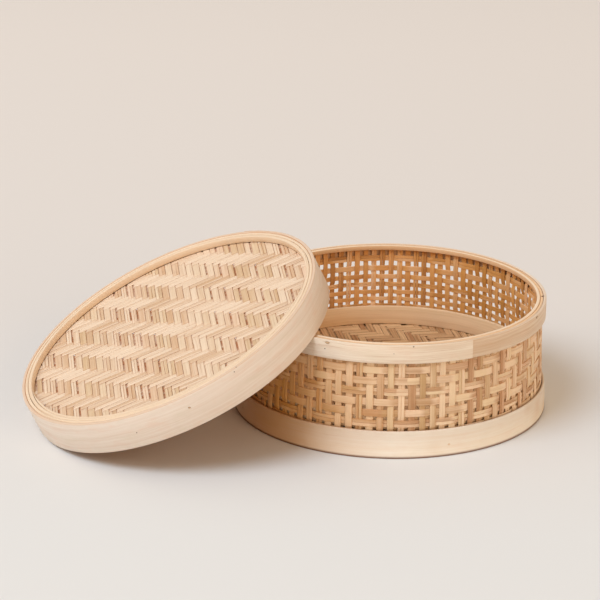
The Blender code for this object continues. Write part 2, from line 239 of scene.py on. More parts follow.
def straight_strip(name, length, width, thickness, segments, edge, rows=1, edge_steps=1):
    """A strip along x, its outer face up at z = 0 and its long edges eased, cut across into segments."""
    deselect()
    bpy.ops.mesh.primitive_grid_add(
        x_subdivisions=segments, y_subdivisions=rows, size=1, calc_uvs=False)
    strip = bpy.context.object
    strip.name = name
    bpy.ops.object.mode_set(mode="EDIT")
    bpy.ops.mesh.select_mode(type="EDGE")
    bpy.ops.mesh.select_all(action="SELECT")
    bpy.ops.transform.resize(value=(length, width, 1))
    bpy.ops.mesh.extrude_region_move(TRANSFORM_OT_translate={"value": (0, 0, -thickness)})
    work = bmesh.from_edit_mesh(strip.data)
    corner = width / 2 - edge / 2
    for piece_edge in work.edges:
        start, end = (vertex.co for vertex in piece_edge.verts)
        runs_along = abs(start.x - end.x) > edge / 100
        piece_edge.select_set(bool(runs_along and abs(start.y) > corner))
    bmesh.update_edit_mesh(strip.data)
    bpy.ops.mesh.bevel(offset=edge, segments=edge_steps, affect="EDGES")
    bpy.ops.mesh.select_all(action="SELECT")
    bpy.ops.mesh.normals_make_consistent(inside=False)
    bpy.ops.object.mode_set(mode="OBJECT")
    lay_grain(strip.data)
    put_value(strip.data, "core", np.clip(-positions(strip.data)[:, 2] / thickness, 0, 1))
    return strip


def put_value(mesh, name, values):
    """Store a number per vertex that a finish reads."""
    layer = mesh.attributes.get(name) or mesh.attributes.new(name, "FLOAT", "POINT")
    layer.data.foreach_set("value", np.ascontiguousarray(values, dtype=np.float32))


def lay_grain(mesh):
    """A UV map in metres along and across the straight strip, so that the grain follows every bend."""
    points = positions(mesh)
    corners = np.empty(len(mesh.loops), dtype=np.int32)
    mesh.loops.foreach_get("vertex_index", corners)
    normals = np.empty(len(mesh.polygons) * 3)
    mesh.polygons.foreach_get("normal", normals)
    sides = np.empty(len(mesh.polygons), dtype=np.int32)
    mesh.polygons.foreach_get("loop_total", sides)
    face = np.repeat(np.arange(len(mesh.polygons)), sides)
    upright = np.abs(normals.reshape(-1, 3)[face, 1]) > SIDE_FACE
    point = points[corners]
    across = np.where(upright, point[:, 2], point[:, 1])
    layer = mesh.uv_layers.new(name="grain")
    layer.data.foreach_set("uv", np.column_stack((point[:, 0], across)).astype(np.float32).ravel())


def own_grain(mesh, tone, tint=0.5, length=1.0):
    """Give a strip its own tone, its own tint from 0, olive, to 1, rose, and its own stretch of grain.

    length is what a strip that was made 1 m long measures once it is in place.
    """
    layer = mesh.uv_layers["grain"]
    grain = np.empty(len(mesh.loops) * 2, dtype=np.float32)
    layer.data.foreach_get("uv", grain)
    grain = grain.reshape(-1, 2) * (length, 1) + (grains.uniform(0, BOARD), grains.uniform(0, BOARD))
    layer.data.foreach_set("uv", grain.astype(np.float32).ravel())
    put_value(mesh, "tone", np.full(len(mesh.vertices), tone))
    put_value(mesh, "tint", np.full(len(mesh.vertices), tint))


def copy_strip(strip):
    twin = strip.copy()
    twin.data = strip.data.copy()
    bpy.context.collection.objects.link(twin)
    return twin


def join_strips(name, strips, place, smooth_deg=STRIP_SMOOTH_DEG):
    """Join strips into one piece under a name, and bring it to its place in the shared frame."""
    deselect()
    for strip in strips:
        strip.select_set(True)
    bpy.context.view_layer.objects.active = strips[0]
    if len(strips) > 1:
        bpy.ops.object.join()
    piece = bpy.context.view_layer.objects.active
    piece.name = name
    piece.data.name = name
    piece.data.transform(place)
    bpy.ops.object.shade_smooth_by_angle(angle=math.radians(smooth_deg))
    return piece


def discard(*objects):
    for obj in objects:
        bpy.data.objects.remove(obj, do_unlink=True)


def smooth_share(value):
    """0 below 0 and 1 above 1, with a smooth rise between."""
    value = np.clip(value, 0, 1)
    return value * value * (3 - 2 * value)


def add_piece(piece, body, node, finish):
    """Let a piece move with a body, stand for a CAD node and wear a finish."""
    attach(piece, body)
    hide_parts(node)
    piece.data.materials.clear()
    piece.data.materials.append(finish)


# Hoops


def bent_hoop(name, outer, thickness, foot, top, place, seam_deg, edge=HOOP_EDGE, profile=None, rows=1,
              tone=0.5, start_tone=None):
    """A strip bent round the z axis, its two ends planed thin and lapped; the outer end's tip is the seam.

    profile gives the outer face's radius at a height, where it isn't upright. The strip takes on
    start_tone towards its inner end.
    """
    lap = math.radians(LAP_LENGTH_DEG)
    sweep = math.tau + lap
    length = sweep * outer
    strip = straight_strip(name, length, top - foot, thickness, HOOP_STOPS, edge, rows, edge_steps=2)
    own_grain(strip.data, tone)
    points = positions(strip.data)
    turned = (points[:, 0] / length + 0.5) * sweep
    if start_tone is not None:
        reached = smooth_share(turned / START_TONE_TURN)
        put_value(strip.data, "tone", start_tone + (tone - start_tone) * reached)
    angle = math.radians(seam_deg) - sweep + turned
    rise = points[:, 1] + (foot + top) / 2
    face = np.array([profile(value) for value in rise]) if profile else np.full(len(points), outer)
    depth = -points[:, 2] / thickness
    start_share = LAP_ROOT + (1 - LAP_ROOT) * np.clip(turned / lap, 0, 1)
    end_run = np.clip((turned - math.tau) / lap, 0, 1)
    end_share = LAP_ROOT + (1 - LAP_ROOT) * end_run
    inner = np.full(len(points), outer - thickness)
    outside = np.where(turned < lap, inner + (face - inner) * start_share, face)
    on_lap = turned > math.tau
    outside = np.where(on_lap, face + LAP_TIP * smooth_share((end_run - 0.5) * 2), outside)
    inside = np.where(on_lap, np.minimum(inner + thickness * end_share, outside - LAP_TIP), inner)
    radius = outside + (inside - outside) * depth
    put_round(strip.data, radius, angle, rise)
    return join_strips(name, [strip], place, HOOP_SMOOTH_DEG)


def partial_ply(name, outer, thickness, foot, top, place, start_deg, end_deg, taper_deg, tone):
    """A strip bent along part of the ring, planed to nothing at both ends."""
    sweep = math.radians(end_deg - start_deg)
    length = sweep * outer
    strip = straight_strip(name, length, top - foot, thickness, HOOP_STOPS // 2, PLY_EDGE, edge_steps=2)
    own_grain(strip.data, tone)
    points = positions(strip.data)
    turned = (points[:, 0] / length + 0.5) * sweep
    angle = math.radians(start_deg) + turned
    from_end = np.minimum(turned, sweep - turned) / math.radians(taper_deg)
    share = PLY_TIP + (1 - PLY_TIP) * smooth_share(from_end)
    radius = outer + points[:, 2] * share
    rise = points[:, 1] + (foot + top) / 2
    put_round(strip.data, radius, angle, rise)
    return join_strips(name, [strip], place, HOOP_SMOOTH_DEG)


def base_profile(height):
    """Radius of the base hoop's face at a height: it leans in a little towards its upper lip."""
    lean_foot = BASE_TOP * BASE_LEAN_FROM
    share = max(0.0, (height - lean_foot) / (BASE_TOP - lean_foot))
    return BASE_RADIUS - BASE_LEAN * share ** 2


# Lattice


def stake_bearings():
    """Bearing in radians of every stake, and of the first one again after a full turn."""
    fine = np.linspace(0, math.tau, BEARING_STEPS + 1)
    start = math.radians(FIRST_STAKE_DEG)
    dense = 1 / (1 + SPACING_SPREAD * np.cos(start + fine - math.radians(WIDE_SPACING_DEG)))
    count = np.concatenate(([0], np.cumsum((dense[1:] + dense[:-1]) / 2)))
    count *= STAKE_COUNT / count[-1]
    return start + np.interp(np.arange(STAKE_COUNT + 1), count, fine)


STAKE_BEARINGS = stake_bearings()


def stake_bearing(index):
    """Bearing at a place in the count of stakes, which may lie between two and past a full turn."""
    turns = np.floor(index / STAKE_COUNT)
    within = index - turns * STAKE_COUNT
    return turns * math.tau + np.interp(within, np.arange(STAKE_COUNT + 1), STAKE_BEARINGS)


def row_heights(bearing):
    """Height of every row of the lattice at a bearing: the rows lie wider in front than at the back."""
    front = np.array(WEAVER_FRONT) * MILLIMETRE
    back = np.array(WEAVER_BACK) * MILLIMETRE
    share = (1 - math.sin(bearing)) / 2
    return back + (front - back) * share


def wall_middle(height):
    """Radius of the middle of the wall at a height."""
    share = np.clip((height - BASE_TOP) / (RIM_FOOT - BASE_TOP), 0, 1)
    top_radius = RIM_RADIUS - RIM_HOOP_THICKNESS - (BASE_RADIUS - BASE_HOOP_THICKNESS - WALL_FOOT_RADIUS)
    return WALL_FOOT_RADIUS + (top_radius - WALL_FOOT_RADIUS) * share - LATTICE_MID_DEPTH


def weaver_outside(row, stake):
    """+1 where the weaver passes outside the stake, and -1 where it passes inside."""
    return 1 if (stake + row - FIRST_FLOAT_ROW) % (2 * WALL_FLOAT) < WALL_FLOAT else -1


def weave_stops(first, last, stops=LATTICE_STOPS):
    """Places along a strip, in counts of crossings, where its faces are cut across."""
    return np.array([crossing + stop for crossing in range(first, last + 1) for stop in stops])


def at_stops(stop, values):
    """Values between a strip's stops, at places in the count of its stops."""
    return np.interp(stop, np.arange(len(values)), values)


def weave_swing(places, side_at):
    """How far a strip is off the middle at its stops, from -1 to 1.

    Near a crossing it is as far as that asks for, and halfway between two it is midway between them.
    """
    beside = [(math.floor(place + HALFWAY), math.floor(place + 1 - HALFWAY)) for place in places]
    return np.array([(side_at(one) + side_at(other)) / 2 for one, other in beside])


def width_at(bearing):
    """How wide the lattice's strips are at a bearing, as a share of their usual width."""
    towards = [np.clip(np.cos(bearing - math.radians(side)), 0, 1) for side in SIDES_DEG]
    return 1 - FRONT_WIDER * np.sin(bearing) + SIDE_WIDER * np.maximum(*towards) ** 4


def wall_stakes():
    """The upright strips, from the wall's foot to its top."""
    rows = len(WEAVER_FRONT)
    places = np.concatenate(([-0.5], weave_stops(0, rows - 1)))
    segments = len(places) - 1
    whole = straight_strip("stake", 1, STAKE_WIDTH, STRIP_THICKNESS, segments, LATTICE_EDGE)
    half = straight_strip("stake", 1, STAKE_WIDTH * HALF_WIDTH, STRIP_THICKNESS, segments, LATTICE_EDGE)
    strips = []
    for stake in range(STAKE_COUNT):
        aside_deg = grains.uniform(-STAKE_ASIDE_DEG, STAKE_ASIDE_DEG)
        bearing = STAKE_BEARINGS[stake] + math.radians(aside_deg)
        rise_at = at_stops(places, row_heights(bearing))
        rise_at[0] = WALL_TOP - STAKE_END_GAP
        rise_at[-1] = WALL_FOOT + STAKE_END_GAP
        swing_at = weave_swing(places, lambda row: -weaver_outside(row, stake))
        doubled = grains.random() < DOUBLED_SHARE
        tone = grains.random()
        lean = grains.uniform(-STAKE_LEAN, STAKE_LEAN)
        width_share = grains.uniform(*STAKE_WIDTHS)
        for side in ((-1, 1) if doubled else (0,)):
            strip = copy_strip(half if doubled else whole)
            own_tone = tone + side * grains.uniform(*PAIR_TONES)
            own_grain(strip.data, own_tone, grains.random(), WALL_TOP - WALL_FOOT)
            points = positions(strip.data)
            stop = (0.5 - points[:, 0]) * segments
            rise = at_stops(stop, rise_at)
            swing = at_stops(stop, swing_at)
            radius = wall_middle(rise) + swing * LATTICE_SWING + points[:, 2] + STRIP_THICKNESS / 2
            aside = points[:, 1] * width_share + side * STAKE_WIDTH * HALF_ASIDE
            aside = aside * width_at(bearing) + (rise - RIM_FOOT / 2) * lean
            outward = np.array((math.cos(bearing), math.sin(bearing)))
            along = np.array((outward[1], -outward[0]))
            flat = radius[:, None] * outward + aside[:, None] * along
            put_positions(strip.data, np.column_stack((flat, rise)))
            strips.append(strip)
    discard(whole, half)
    return join_strips("wall_stakes", strips, BASKET_PLACE)


def wall_weavers():
    """The strips that run round: the one that closes the top, and one or two for each row below it."""
    rows = len(WEAVER_FRONT)
    foot, top, thickness = TOP_STRIP
    strips = [bent_hoop("top_strip", float(wall_middle(top)) + thickness / 2, thickness, foot, top,
                        Matrix.Identity(4), seam_deg=110, edge=LATTICE_EDGE, tone=0.2)]
    for row in range(1, rows):
        repeats = STAKE_COUNT // (2 * WALL_FLOAT)
        first = 2 * WALL_FLOAT * grains.randrange(repeats) - row + WEAVER_START
        places = np.concatenate(([first - 0.5], weave_stops(first, first + STAKE_COUNT - 1)))
        segments = len(places) - 1
        swing_at = weave_swing(places, lambda stake: weaver_outside(row, stake))
        bearing_at = stake_bearing(places)
        doubled = row in DOUBLED_ROWS
        tone = grains.random()
        for side in ((-1, 1) if doubled else (0,)):
            strip = straight_strip("weaver", 1, WEAVER_WIDTH, STRIP_THICKNESS, segments, LATTICE_EDGE)
            own_grain(strip.data, 0.5, length=math.tau * WALL_FOOT_RADIUS)
            points = positions(strip.data)
            stop = (points[:, 0] + 0.5) * segments
            bearing = at_stops(stop, bearing_at)
            swing = at_stops(stop, swing_at)
            floats = np.floor((at_stops(stop, places) - first) / WALL_FLOAT).astype(int)
            drawn = [(grains.uniform(*FLOAT_TONES), grains.random()) for _ in range(floats.max() + 1)]
            float_tone, float_tint = np.array([drawn[value] for value in np.maximum(floats, 0)]).T
            put_value(strip.data, "tone", (tone + float_tone) / 2 + side * WEAVER_PAIR_TONE)
            put_value(strip.data, "tint", float_tint)
            heights = np.array([row_heights(value) for value in bearing])
            lower = min(row + 1, rows - 1)
            spacing = (heights[:, row - 1] - heights[:, lower]) / (lower - row + 1)
            width = spacing * WEAVER_SHARE * width_at(bearing)
            across = points[:, 1] / WEAVER_WIDTH * width
            if doubled:
                across = across * HALF_WIDTH + side * width * WEAVER_HALF_ASIDE
            rise = heights[:, row] + across
            rise = np.clip(rise, WALL_FOOT + WEAVER_EDGE_GAP, WALL_TOP - WEAVER_EDGE_GAP)
            radius = wall_middle(rise) + swing * LATTICE_SWING + points[:, 2] + STRIP_THICKNESS / 2
            put_round(strip.data, radius, bearing, rise)
            strips.append(strip)
    return join_strips("wall_weavers", strips, BASKET_PLACE)


# Mats


def mat_family(name, radius, middle, place, own, other, turn, on_top):
    """One family of parallel strips of a twill mat, each passing over and under the other family.

    turn is +1 where the strips run a quarter turn on from their count, and -1 where a quarter turn back.
    """
    count, crossed = np.array(own.count), np.array(other.count)
    pitch = 1 / np.linalg.norm(count)
    along = turn * np.array((-count[1], count[0])) * pitch
    across = count * pitch
    reach = int(radius / pitch) + 1
    usual_gap, wide_gap, wide_share = own.gaps
    strips = []
    for strip_index in range(-reach, reach + 1):
        gap = wide_gap if grains.random() < wide_share else usual_gap
        width = pitch * (1 - gap)
        offset = (strip_index - own.phase - gap / 2) * pitch
        tone = grains.uniform(*own.tones)
        tint = grains.uniform(*own.tints)
        doubled = grains.random() < own.doubled_share
        outer_edge = abs(offset) + width / 2
        if outer_edge >= radius - width / 4:
            continue
        half_length = math.sqrt(radius ** 2 - outer_edge ** 2)
        foot = across * offset
        rate = crossed @ along
        centre = crossed @ foot + other.phase
        ends = sorted(centre + rate * side * half_length for side in (-1, 1))
        first, last = math.ceil(ends[0] - MAT_STOP), math.floor(ends[1] + MAT_STOP)
        places = weave_stops(first, last, (-MAT_STOP, MAT_STOP))
        places = places[(places > ends[0] + MAT_END_STOP) & (places < ends[1] - MAT_END_STOP)]
        places = np.concatenate(([ends[0]], places, [ends[1]]))
        side_at = [1 if on_top(strip_index, math.floor(value + 0.5)) else -1 for value in places]
        segments = len(places) - 1
        for side in ((-1, 1) if doubled else (0,)):
            own_width = width * HALF_WIDTH if doubled else width
            strip = straight_strip("mat_strip", 1, own_width, MAT_STRIP_THICKNESS, segments, own.edge)
            own_grain(strip.data, tone + side * grains.uniform(*MAT_PAIR_TONES), tint, 2 * half_length)
            points = positions(strip.data)
            stop = (points[:, 0] + 0.5) * segments
            if rate < 0:
                stop = segments - stop
            height = at_stops(stop, side_at)
            under = (1 - height) / 2
            depth = -points[:, 2] / MAT_STRIP_THICKNESS
            # Where it passes under, a strip takes on its core's colour: painted shade
            put_value(strip.data, "core", np.maximum(depth, under * UNDER_SHADE))
            run = (at_stops(stop, places) - centre) / rate
            tilt = points[:, 1] * grains.uniform(-MAT_TILT, MAT_TILT)
            aside = side * width * HALF_ASIDE - points[:, 1] * turn
            flat = foot + run[:, None] * along + aside[:, None] * across
            rise = middle + height * MAT_SWING + points[:, 2] + MAT_STRIP_THICKNESS / 2 + tilt
            put_positions(strip.data, np.column_stack((flat, rise)))
            strips.append(strip)
    return join_strips(name, strips, place)


def upright_on_top(upright, crossing):
    """Whether an upright passes over a crossing strip, by their places in the count."""
    return (upright + crossing - MAT_FIRST_FLOAT) % (2 * MAT_FLOAT) < MAT_FLOAT


def crossing_on_top(crossing, upright):
    return not upright_on_top(upright, crossing)


def add_mat(mat, body, place, radius, middle, uprights, crossings, finish):
    """Both families of a mat, each as a piece of its own."""
    for name, own, other, turn, on_top in (
            ("_uprights", uprights, crossings, 1, upright_on_top),
            ("_crossings", crossings, uprights, -1, crossing_on_top)):
        family = mat_family(mat + name, radius, middle, place, own, other, turn, on_top)
        add_piece(family, body, mat, finish)


# Pegs and slats


def peg(node, hub, head):
    """A peg that lies where its CAD node does, with an oval head that faces away from the hub."""
    points = node_points(node)
    centre = (points.max(axis=0) + points.min(axis=0)) / 2
    axis = np.linalg.svd(points - points.mean(axis=0))[2][0]
    axis *= math.copysign(1, axis @ (centre - np.array(hub)))
    run = (points - centre) @ axis
    radius = np.linalg.norm(points - centre - np.outer(run, axis), axis=1).max()
    deselect()
    bpy.ops.mesh.primitive_cylinder_add(
        vertices=PEG_SIDES, radius=radius, depth=run.max() - run.min(), calc_uvs=False)
    piece = bpy.context.object
    bpy.ops.object.mode_set(mode="EDIT")
    bpy.ops.mesh.select_mode(type="FACE")
    work = bmesh.from_edit_mesh(piece.data)
    for face in work.faces:
        face.select_set(face.normal.z > LEVEL_FACE)
    bmesh.update_edit_mesh(piece.data)
    bpy.ops.transform.resize(value=(head[0], head[1], 1))
    bpy.ops.mesh.inset(thickness=radius * PEG_EASED)
    bpy.ops.transform.translate(value=(0, 0, radius * PEG_CROWN))
    bpy.ops.object.mode_set(mode="OBJECT")
    heights = positions(piece.data)[:, 2]
    lay_grain(piece.data)
    own_grain(piece.data, 0.5)
    on_face = heights > heights.max() - radius * PEG_FACE
    put_value(piece.data, "core", np.where(on_face, 0.0, 1.0))
    outward = Vector(axis)
    level = Vector((0, 0, 1)).cross(outward).normalized()
    turn = Matrix((level, outward.cross(level), outward)).transposed().to_4x4()
    return join_strips(node + "_head", [piece], Matrix.Translation(centre) @ turn)


def add_pegs(hoop, body, place, head, finish):
    """The four pegs of a hoop."""
    for number in range(1, PEG_COUNT + 1):
        node = f"{hoop}_peg_{number}"
        add_piece(peg(node, place.translation, head), body, node, finish)


def floor_slat(node):
    """A flat slat under the mat, along x, in the place of its CAD node."""
    low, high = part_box(node)
    name = node + "_strip"
    strip = straight_strip(name, *(high - low), SLAT_STOPS, HOOP_EDGE, edge_steps=2)
    own_grain(strip.data, grains.random(), grains.random())
    middle = (low + high) / 2
    return join_strips(name, [strip], Matrix.Translation((middle.x, middle.y, high.z)), HOOP_SMOOTH_DEG)


def cut_notches(piece, nodes):
    """Cut the places of CAD nodes, and a gap round them, out of a piece."""
    for node in nodes:
        low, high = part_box(node)
        deselect()
        bpy.ops.mesh.primitive_cube_add(size=1, location=(low + high) / 2)
        cutter = bpy.context.object
        bpy.ops.transform.resize(value=(high - low) + Vector((NOTCH_GAP,) * 3))
        deselect()
        piece.select_set(True)
        bpy.context.view_layer.objects.active = piece
        notch = piece.modifiers.new("notch", "BOOLEAN")
        notch.operation = "DIFFERENCE"
        notch.object = cutter
        bpy.ops.object.modifier_apply(modifier=notch.name)
        discard(cutter)


# Finishes

# Sockets of a Mix node that blends colours
MIX_SHARE, MIX_FIRST, MIX_SECOND = 0, 6, 7
MIX_COLOUR = 2
NOISE_ROUGHNESS = 0.6


def linear(value):
    """A screen's value of one colour, from 0 to 255, made linear."""
    value /= 255
    return value / 12.92 if value <= 0.04045 else ((value + 0.055) / 1.055) ** 2.4


def shade(red, green, blue):
    """A colour as a screen shows it, from 0 to 255, made linear for a shader."""
    return (linear(red), linear(green), linear(blue), 1.0)


def add_node(tree, kind, sockets=None, **settings):
    """Add a shader node; a socket given another node's output is linked, and any other value is set."""
    made = tree.nodes.new(kind)
    for name, value in settings.items():
        setattr(made, name, value)
    for key, value in (sockets or {}).items():
        if isinstance(value, bpy.types.NodeSocket):
            tree.links.new(value, made.inputs[key])
        else:
            made.inputs[key].default_value = value
    return made


def stretched_noise(tree, vector, along, across, detail):
    """Noise drawn out along the strip: lengths along and across it in metres."""
    mapping = add_node(tree, "ShaderNodeMapping", {"Vector": vector, "Scale": (1 / along, 1 / across, 1)})
    noise = add_node(
        tree, "ShaderNodeTexNoise",
        {"Vector": mapping.outputs[0], "Scale": 1.0, "Detail": detail, "Roughness": NOISE_ROUGHNESS})
    return noise.outputs[0]


def between(tree, value, low, high, to_low=0.0, to_high=1.0):
    """to_low where the value is low, to_high where it is high, and a straight run between."""
    sockets = {0: value, 1: low, 2: high, 3: to_low, 4: to_high}
    return add_node(tree, "ShaderNodeMapRange", sockets).outputs[0]


def combine(tree, operation, first, second):
    return add_node(tree, "ShaderNodeMath", {0: first, 1: second}, operation=operation).outputs[0]


def blend_colours(tree, share, first, second):
    sockets = {MIX_SHARE: share, MIX_FIRST: first, MIX_SECOND: second}
    return add_node(tree, "ShaderNodeMix", sockets, data_type="RGBA").outputs[MIX_COLOUR]


def measured(tree, operation, place, other):
    """The number that a vector operation gives for a place."""
    made = add_node(tree, "ShaderNodeVectorMath", {0: place, 1: other}, operation=operation)
    return made.outputs["Value"]


# Where a finish takes a real mark, and where it takes painted shade: each of these returns what gives the
# share of that colour at a place


def far_from(point, near, far, most=1.0):
    """A mark that grows with the distance from a point, for real marks and for painted shade."""
    return lambda tree, place: between(
        tree, measured(tree, "DISTANCE", place, point), near, far, 0, most)


def near_to(point, near, far, most):
    """A patch round a point, strongest at it: a real smudge, and also painted shade."""
    return far_from(point, far, near, most)


def spot(point, radius):
    """A pin hole or a small knot."""
    return far_from(point, radius, radius / 2)


def along_line(direction, low, high, most):
    """A mark that grows with how far a place lies along a direction, used mostly for painted shade at
    edges, creases and feet.
    """
    return lambda tree, place: between(
        tree, measured(tree, "DOT_PRODUCT", place, direction), low, high, 0, most)


ROSE = shade(228, 176, 142)
OLIVE = shade(216, 196, 138)
GREYISH = shade(208, 200, 172)
# A honey colour, for real smudges and for warm painted shade
HONEY_STAIN_AND_SHADE = shade(206, 142, 44)
DARK_SOIL = (0.1, 0.05, 0.02, 1.0)

# Layers of the grain: length in metres, width in fibres, detail, the noise's values between which it
# shows, and how much it counts
FIBRES = (0.045, 1, 4, 0.35, 0.68, 0.3)
LINES = (0.11, 3, 2, 0.36, 0.66, 0.35)
BANDS = (0.16, 9, 2, 0.35, 0.66, 0.35)
STREAKS = (0.07, 1.6, 3)
STREAK_RISE = 0.1  # how far the noise rises over a streak, up to its full strength
STREAK_STRENGTH = 0.55
WAVER = (0.03, 0.01)  # length and width of the grain's waves, in metres
WAVER_HEIGHT = 5  # and their height in fibres
PATCH = (0.022, 0.009)  # length and width of a rosy or greyish patch, in metres
# Where a strip's tint, or the noise of its patches, starts to turn its colour and where it is done
ROSY_TINT = (0.6, 1)
OLIVE_TINT = (0.35, 0)
ROSY_PATCH = (0.52, 0.7)
GREYISH_PATCH = (0.48, 0.3)
# The same for its tone and the colour of its core, and then the least and the most that it does
DEEP_CORE = (0.45, 1.1, 0, 0.65)
PALE_CORE = (0.4, -0.1, 0, 0.55)
GRAIN_RELIEF = 0.00006
ROUGHNESS = (0.3, 0.7, 0.42, 0.62)  # the fibres' noise from where to where, and the roughness there
BAMBOO_GLOSS = 0.35


def split_bamboo(name, pale, deep, streak, core=None, core_share=0.0, core_from=0.0, fibre=0.0005,
                 tone_pull=0.5, tint_pull=0.3, streak_from=0.66, patches=0.0, stains_and_shade=(), soils_and_shade=(),
                 soil_and_shade_colour=DARK_SOIL):
    """Split bamboo: fibres and lines along the strip, broader bands, dark streaks, and a tone per strip.

    pale, deep and streak are the grain's colours, as a screen shows them. core is the colour of the soft
    inner side, nearer to streak where the strip's tone is deep and nearer to pale where it is light; a mat
    strip also takes it on where it passes under, as painted shade. fibre is a fibre's width, and the pulls
    say how much the strip's own tone and tint count. The stains bring on a honey colour, and the soils the
    colour of soil: each holds real marks and also painted shade.
    """
    pale, deep, streak = shade(*pale), shade(*deep), shade(*streak)
    material = bpy.data.materials.new(name)
    material.use_nodes = True
    tree = material.node_tree
    shader = tree.nodes["Principled BSDF"]
    grain = add_node(tree, "ShaderNodeUVMap", uv_map="grain").outputs[0]
    place = add_node(tree, "ShaderNodeTexCoord").outputs["Object"]
    tone = add_node(tree, "ShaderNodeAttribute", attribute_name="tone").outputs["Fac"]
    tint = add_node(tree, "ShaderNodeAttribute", attribute_name="tint").outputs["Fac"]
    depth = add_node(tree, "ShaderNodeAttribute", attribute_name="core").outputs["Fac"]
    waver = combine(tree, "SUBTRACT", stretched_noise(tree, grain, *WAVER, detail=2), 0.5)
    waver = combine(tree, "MULTIPLY", waver, fibre * WAVER_HEIGHT)
    run = add_node(tree, "ShaderNodeSeparateXYZ", {0: grain})
    across = combine(tree, "ADD", run.outputs[1], waver)
    grain = add_node(tree, "ShaderNodeCombineXYZ", {0: run.outputs[0], 1: across}).outputs[0]
    share = combine(tree, "SUBTRACT", combine(tree, "MULTIPLY", tone, tone_pull), tone_pull / 2)
    layers = []
    for length, width, detail, low, high, weight in (FIBRES, LINES, BANDS):
        layers.append(stretched_noise(tree, grain, length, fibre * width, detail))
        layer = combine(tree, "MULTIPLY", between(tree, layers[-1], low, high), weight)
        share = combine(tree, "ADD", share, layer)
    fibres, lines, _ = layers
    length, width, detail = STREAKS
    streaks = stretched_noise(tree, grain, length, fibre * width, detail)
    patch = stretched_noise(tree, grain, *PATCH, detail=3)
    colour = blend_colours(tree, between(tree, share, 0.0, 1.0), pale, deep)
    for value, reach, most, turned_to in (
            (tint, ROSY_TINT, tint_pull, ROSE), (tint, OLIVE_TINT, tint_pull, OLIVE),
            (patch, ROSY_PATCH, patches, ROSE), (patch, GREYISH_PATCH, patches, GREYISH),
            (streaks, (streak_from, streak_from + STREAK_RISE), STREAK_STRENGTH, streak)):
        colour = blend_colours(tree, between(tree, value, *reach, 0, most), colour, turned_to)
    if core:
        core = blend_colours(tree, between(tree, tone, *DEEP_CORE), shade(*core), streak)
        core = blend_colours(tree, between(tree, tone, *PALE_CORE), core, pale)
        colour = blend_colours(tree, between(tree, depth, core_from, 1, 0, core_share), colour, core)
    # Honey marks, then dark marks: real marks, and also painted shade
    for honey_mark in stains_and_shade:
        colour = blend_colours(tree, honey_mark(tree, place), colour, HONEY_STAIN_AND_SHADE)
    for dark_mark in soils_and_shade:
        colour = blend_colours(tree, dark_mark(tree, place), colour, soil_and_shade_colour)
    tree.links.new(colour, shader.inputs["Base Color"])
    tree.links.new(between(tree, fibres, *ROUGHNESS), shader.inputs["Roughness"])
    height = combine(tree, "ADD", fibres, lines)
    bump = add_node(tree, "ShaderNodeBump", {"Height": height, "Distance": GRAIN_RELIEF, "Strength": 1.0})
    tree.links.new(bump.outputs[0], shader.inputs["Normal"])
    shader.inputs["Specular IOR Level"].default_value = BAMBOO_GLOSS
    return material


def on_hoop(place, radius, bearing_deg, height):
    """A point on the face of a hoop."""
    bearing = math.radians(bearing_deg)
    return place @ Vector((radius * math.cos(bearing), radius * math.sin(bearing), height))


# Bearing in degrees, height and radius of each mark; on the skirt the bearing is from the first peg
RIM_MARKS = ((244.5, 0.0881, 0.0006), (276.4, 0.0947, 0.0007), (269.5, 0.0889, 0.0004))
SKIRT_MARKS = ((-20.8, -0.0155, 0.0006), (19.1, -0.0029, 0.0006), (20.4, -0.0004, 0.0005))
# Bearing in degrees, height, reach and strength of each smudge
BASE_SMUDGES = ((338, 0.013, 0.016, 0.3), (348, 0.006, 0.014, 0.32), (330, 0.019, 0.010, 0.22),
                (285, 0.008, 0.012, 0.1))
# Middle of a warm painted shade on the wall and the base hoop, on the side under the lid
LID_SHADOW_SIDE = BASKET_PLACE @ Vector((-0.105, -0.085, 0.03))
# Middle of a painted shade, honey and dark, on the back right of the wall
SHADED_BACK_RIGHT = BASKET_PLACE @ Vector((0.085, 0.095, 0.055))
UPWARD = Vector((0, 0, 1))
LID_UPWARD = LID_PLACE.to_3x3() @ UPWARD
LID_RING_TOP = LID_PLACE.translation.dot(LID_UPWARD)
MAT_EDGE_SHADE = (0.1228, 0.1238)  # where the painted shade at the lid mat's edge, next to the ring, starts, and where it is at full strength

rim_knot = spot(BASKET_PLACE @ Vector((0.1252, -0.0066, RIM_TOP)), 0.0018)
rim_marks = [
    spot(on_hoop(BASKET_PLACE, RIM_RADIUS, bearing, height), radius)
    for bearing, height, radius in RIM_MARKS]
first_peg = LID_PLACE.inverted() @ (sum(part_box("lid_peg_1"), Vector()) / 2)
first_peg_deg = math.degrees(math.atan2(first_peg.y, first_peg.x))
skirt_marks = [
    spot(on_hoop(LID_PLACE, LID_RADIUS, first_peg_deg + aside, height), radius)
    for aside, height, radius in SKIRT_MARKS]
base_smudges = [
    near_to(on_hoop(BASKET_PLACE, BASE_RADIUS, bearing, height), 0.0, reach, most)
    for bearing, height, reach, most in BASE_SMUDGES]
lid_middle = LID_PLACE @ Vector((0, 0, LID_MAT_TOP))

